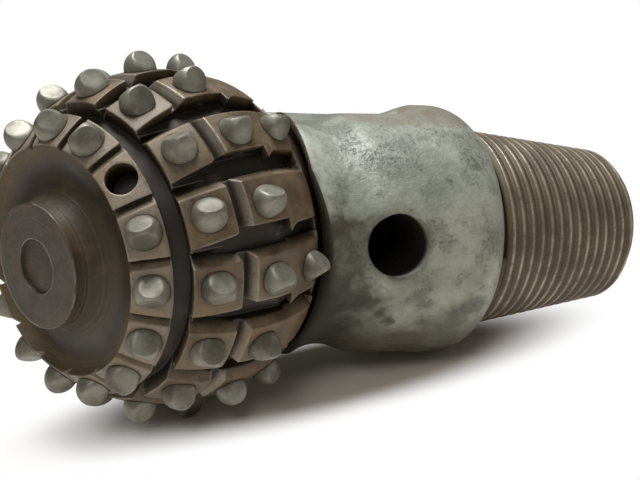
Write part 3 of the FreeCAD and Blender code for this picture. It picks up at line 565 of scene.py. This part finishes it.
# Painted shade with dirt: the deep milled slots are darkened almost to black.
colour = mix(tree, times(tree, in_slot, SLOT_SHADE_AND_DIRT), colour, CONE_DIRT_AND_SHADE)
rubbed = times(tree, edges["Edge"], ramp(tree, patches["Cloud"], *CORNER_RUB))
rubbed = times(tree, rubbed, calc(tree, "SUBTRACT", 1.0, edges["Crease"]))
colour = mix(tree, rubbed, colour, CONE_BARE_AND_HIGHLIGHT)
tree.links.new(colour, shader["Base Color"])
bare = calc(tree, "MAXIMUM", rubbed, times(tree, painted_bevel_highlight, BEVEL_HIGHLIGHT_METAL))
tree.links.new(ramp(tree, bare, *CONE_METAL), shader["Metallic"])
tree.links.new(ramp(tree, weather["Cloud"], *CONE_ROUGHNESS), shader["Roughness"])
height = calc(tree, "ADD", times(tree, weather["Height"], CONE_HEIGHT), times(tree, rings, in_dish))
soft_corner = add(tree, "ShaderNodeBevel", {"Radius": PAD_CORNER}, samples=8).outputs[0]
skin = add(
    tree, "ShaderNodeBump", {"Height": height, "Strength": 0.45, "Distance": 0.0008, "Normal": soft_corner}
)
tree.links.new(skin.outputs[0], shader["Normal"])
wear(frame["nodes"]["cone_shell"], cone_steel)

# Pilot bush and thrust disc: a bronze sleeve pressed into the cone's bore, and a ground washer.
# The bush turns on the journal's pilot end, and the disc takes the push at the bottom of the bore.
BUSH_LIGHT = (0.62, 0.42, 0.20, 1)
BUSH_DARK = (0.42, 0.26, 0.11, 1)
bush_bronze = ground_metal("bush_bronze", BUSH_LIGHT, BUSH_DARK, cone_turn, line_size=0.4, roughness=0.24)
wear(frame["nodes"]["pilot_bush"], bush_bronze)
wear(frame["nodes"]["thrust_disc"], hard_steel)

# Inserts: sintered tungsten carbide studs pressed into the cone, domed and dressed to a blunt crest.
# Their skin is fine-grained grey, darker where it is dirty and bright on the rubbed crests.
CARBIDE = (0.240, 0.232, 0.188, 1)
CARBIDE_DULL = (0.098, 0.092, 0.070, 1)
CARBIDE_BRIGHT = (0.480, 0.480, 0.455, 1)
SEAM_DIRT = (0.024, 0.019, 0.013, 1)
SEAM_RANGE = (64.95, 64.45)
STUD_SPECKS = 0.5
STUD_RUB = 0.45
STUD_ROUGHNESS = (0.0, 1.0, 0.42, 0.56)
carbide, tree, shader, place = new_material("carbide", cone_turn)
distance = length_of(tree, place)
edges = use_group(tree, edges_group, Reach=0.0009, Depth=0.0022)
weather = use_group(tree, weather_group, Place=place, Cloud_Size=12.0, Speck_Size=0.7, Specks=0.25)
colour = mix(tree, weather["Cloud"], CARBIDE, CARBIDE_DULL)
colour = mix(tree, times(tree, weather["Speck"], STUD_SPECKS), colour, CARBIDE_DULL)
colour = mix(tree, times(tree, edges["Edge"], STUD_RUB), colour, CARBIDE_BRIGHT)
colour = mix(tree, ramp(tree, distance, *SEAM_RANGE), colour, SEAM_DIRT)
tree.links.new(colour, shader["Base Color"])
shader["Metallic"].default_value = 0.40
tree.links.new(ramp(tree, weather["Cloud"], *STUD_ROUGHNESS), shader["Roughness"])
skin = add(tree, "ShaderNodeBump", {"Height": weather["Height"], "Strength": 0.12, "Distance": 0.0002})
tree.links.new(skin.outputs[0], shader["Normal"])

# Each stud takes its place, its way, its width and its height from the solid that it stands for.
# These sizes are in metres. The powers give the dome its fullness and the crest its soft corners.
SAME_PLACE = 1e-6
CONE_RADIUS = 0.0644
STUD_FOOT_SINK = 0.0001
STUD_CHAMFER = 0.0006
STUD_SIDES = 44
DOME_STEPS = 14
DOME_WIDTH_POWER = 0.90
DOME_HEIGHT_POWER = 0.88
CREST_HALF_WIDTH = 0.0004
FLANK_SLOPE = 0.82
FLANK_POWER = 12


def islands(mesh):
    """The separate solids of a node, each as the places of its vertices."""
    bm = bmesh.new()
    bm.from_mesh(mesh)
    bmesh.ops.remove_doubles(bm, verts=bm.verts, dist=SAME_PLACE)
    bm.verts.ensure_lookup_table()
    left = set(range(len(bm.verts)))
    while left:
        start = min(left)
        found, to_visit = {start}, [start]
        while to_visit:
            vert = bm.verts[to_visit.pop()]
            for edge in vert.link_edges:
                other = edge.other_vert(vert).index
                if other not in found:
                    found.add(other)
                    to_visit.append(other)
        left -= found
        yield [bm.verts[i].co.copy() for i in sorted(found)]
    bm.free()


def add_stud(bm, places):
    """One insert: its round shank, and its dome pressed in from two sides to a crest along the meridian."""
    up = (sum(places, Vector()) / len(places) - cone_centre).normalized()
    along = (up * up.dot(nose_axis) - nose_axis).normalized()
    heights = [(place - cone_centre).dot(up) for place in places]
    reach = [((place - cone_centre) - up * height).length for place, height in zip(places, heights)]
    radius, bottom, top = max(reach), min(heights), max(heights)
    foot = CONE_RADIUS - STUD_FOOT_SINK
    rise = top - foot
    outline = [
        (0.0, bottom), (radius - STUD_CHAMFER, bottom), (radius, bottom + STUD_CHAMFER), (radius, foot)
    ]
    for step in range(1, DOME_STEPS):
        turn = math.pi / 2 * step / DOME_STEPS
        dome_reach = radius * math.cos(turn) ** DOME_WIDTH_POWER
        outline.append((dome_reach, foot + rise * math.sin(turn) ** DOME_HEIGHT_POWER))
    outline.append((0.0, top))
    line = [bm.verts.new((reach_out, 0, height)) for reach_out, height in outline]
    sides = [bm.edges.new(pair) for pair in zip(line, line[1:])]
    bmesh.ops.spin(
        bm, geom=line + sides, cent=(0, 0, 0), axis=(0, 0, 1), angle=math.tau, steps=STUD_SIDES,
        use_merge=True,
    )
    stud = {vert for face in bm.faces if not face.tag for vert in face.verts}
    for vert in stud:
        width = CREST_HALF_WIDTH + max(top - vert.co.z, 0.0) * FLANK_SLOPE
        if vert.co.z > foot and vert.co.y:
            side = abs(vert.co.y)
            pressed = side * width / (side ** FLANK_POWER + width ** FLANK_POWER) ** (1 / FLANK_POWER)
            vert.co.y = math.copysign(pressed, vert.co.y)
    to_world = Matrix.Translation(cone_centre) @ Matrix((along, up.cross(along), up)).transposed().to_4x4()
    bmesh.ops.transform(bm, matrix=to_world, verts=list(stud))
    for face in bm.faces:
        face.tag = True


for name, node in frame["nodes"].items():
    if not name.startswith("inserts_row"):
        continue
    bm = bmesh.new()
    for places in islands(node.data):
        add_stud(bm, places)
    bmesh.ops.remove_doubles(bm, verts=bm.verts, dist=SAME_PLACE)
    bmesh.ops.recalc_face_normals(bm, faces=bm.faces)
    for face in bm.faces:
        face.smooth = True
    studs = new_object(name + "_studs", bm)
    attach(studs, "cone")
    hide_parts(name)
    wear(studs, carbide)

# Floor, light and camera: a pale floor that runs out to white a little way from the bit.
# One wide lamp lights it from above and a small one from the front, under a soft even sky.
FLOOR_NEAR = (1.0, 0.90, 0.78, 1)
WHITE = (1, 1, 1, 1)
FLOOR_SIDES = 96
FLOOR_RADIUS = 4.0
SHADOW_MIDDLE = (-0.008, -0.002, 0.0)
SHADOW_REACH = (0.137, 0.044, 1.0)
SWEEP = (0.55, 1.05)
bm = bmesh.new()
bmesh.ops.create_circle(bm, cap_ends=True, segments=FLOOR_SIDES, radius=FLOOR_RADIUS)
floor = new_object("floor", bm)
paper = bpy.data.materials.new("paper")
paper.use_nodes = True
tree = paper.node_tree
tree.nodes.clear()
shares = add(
    tree, "ShaderNodeMapping",
    {"Vector": add(tree, "ShaderNodeTexCoord").outputs["Object"], "Location": SHADOW_MIDDLE,
     "Scale": SHADOW_REACH},
    vector_type="TEXTURE",
).outputs[0]
away = length_of(tree, shares)
seen = add(tree, "ShaderNodeLightPath").outputs
shown = calc(tree, "MAXIMUM", seen["Is Camera Ray"], seen["Is Glossy Ray"])
blend = times(tree, ramp(tree, away, *SWEEP), shown)
matt = add(tree, "ShaderNodeBsdfDiffuse", {"Color": FLOOR_NEAR})
white = add(tree, "ShaderNodeEmission", {"Color": WHITE, "Strength": 1.0})
both = add(tree, "ShaderNodeMixShader", {0: blend, 1: matt.outputs[0], 2: white.outputs[0]})
add(tree, "ShaderNodeOutputMaterial", {"Surface": both.outputs[0]})
floor.data.materials.append(paper)

world = bpy.data.worlds.new("studio")
bpy.context.scene.world = world
world.use_nodes = True
tree = world.node_tree
tree.nodes.clear()
seen = add(tree, "ShaderNodeLightPath").outputs
shown = calc(tree, "MAXIMUM", seen["Is Camera Ray"], seen["Is Transmission Ray"])
soft = add(tree, "ShaderNodeBackground", {"Color": WHITE, "Strength": 0.17})
white = add(tree, "ShaderNodeBackground", {"Color": WHITE, "Strength": 1.0})
both = add(tree, "ShaderNodeMixShader", {0: shown, 1: soft.outputs[0], 2: white.outputs[0]})
add(tree, "ShaderNodeOutputWorld", {"Surface": both.outputs[0]})

LAMP_AIM = Vector((0, 0, 0.05))
LAMPS = {
    "top_lamp": {"spot": (-0.02, 0.10, 0.94), "width": 0.60, "power": 12.0},
    "side_lamp": {"spot": (-0.35, -0.70, 0.80), "width": 0.35, "power": 1.6},
}
for name, values in LAMPS.items():
    data = bpy.data.lights.new(name, "AREA")
    data.shape = "DISK"
    data.size = values["width"]
    data.energy = values["power"]
    lamp = bpy.data.objects.new(name, data)
    lamp.location = values["spot"]
    lamp.rotation_euler = (LAMP_AIM - Vector(values["spot"])).to_track_quat("-Z", "Y").to_euler()
    bpy.context.scene.collection.objects.link(lamp)

CAMERA_AROUND = math.radians(-19.99)
CAMERA_ABOVE = math.radians(15.50)
CAMERA_ROLL = math.radians(-5.18)
CAMERA_DISTANCE = 0.35146
CAMERA_AIM = Vector((-0.00588, -0.00136, 0.05815))
SENSOR_WIDTH = 36
IMAGE_WIDTH = 640
FOCAL_PIXELS = 850
back = Vector((
    math.sin(CAMERA_AROUND) * math.cos(CAMERA_ABOVE),
    -math.cos(CAMERA_AROUND) * math.cos(CAMERA_ABOVE),
    math.sin(CAMERA_ABOVE),
))
camera_data = bpy.data.cameras.new("camera")
camera_data.sensor_width = SENSOR_WIDTH
camera_data.lens = SENSOR_WIDTH * FOCAL_PIXELS / IMAGE_WIDTH
camera_data.clip_start = 0.01
camera = bpy.data.objects.new("camera", camera_data)
camera.matrix_world = (
    Matrix.Translation(CAMERA_AIM + back * CAMERA_DISTANCE)
    @ (-back).to_track_quat("-Z", "Y").to_matrix().to_4x4()
    @ Matrix.Rotation(CAMERA_ROLL, 4, "Z")
)
bpy.context.scene.collection.objects.link(camera)
bpy.context.scene.camera = camera
bpy.context.scene.view_settings.view_transform = "Standard"
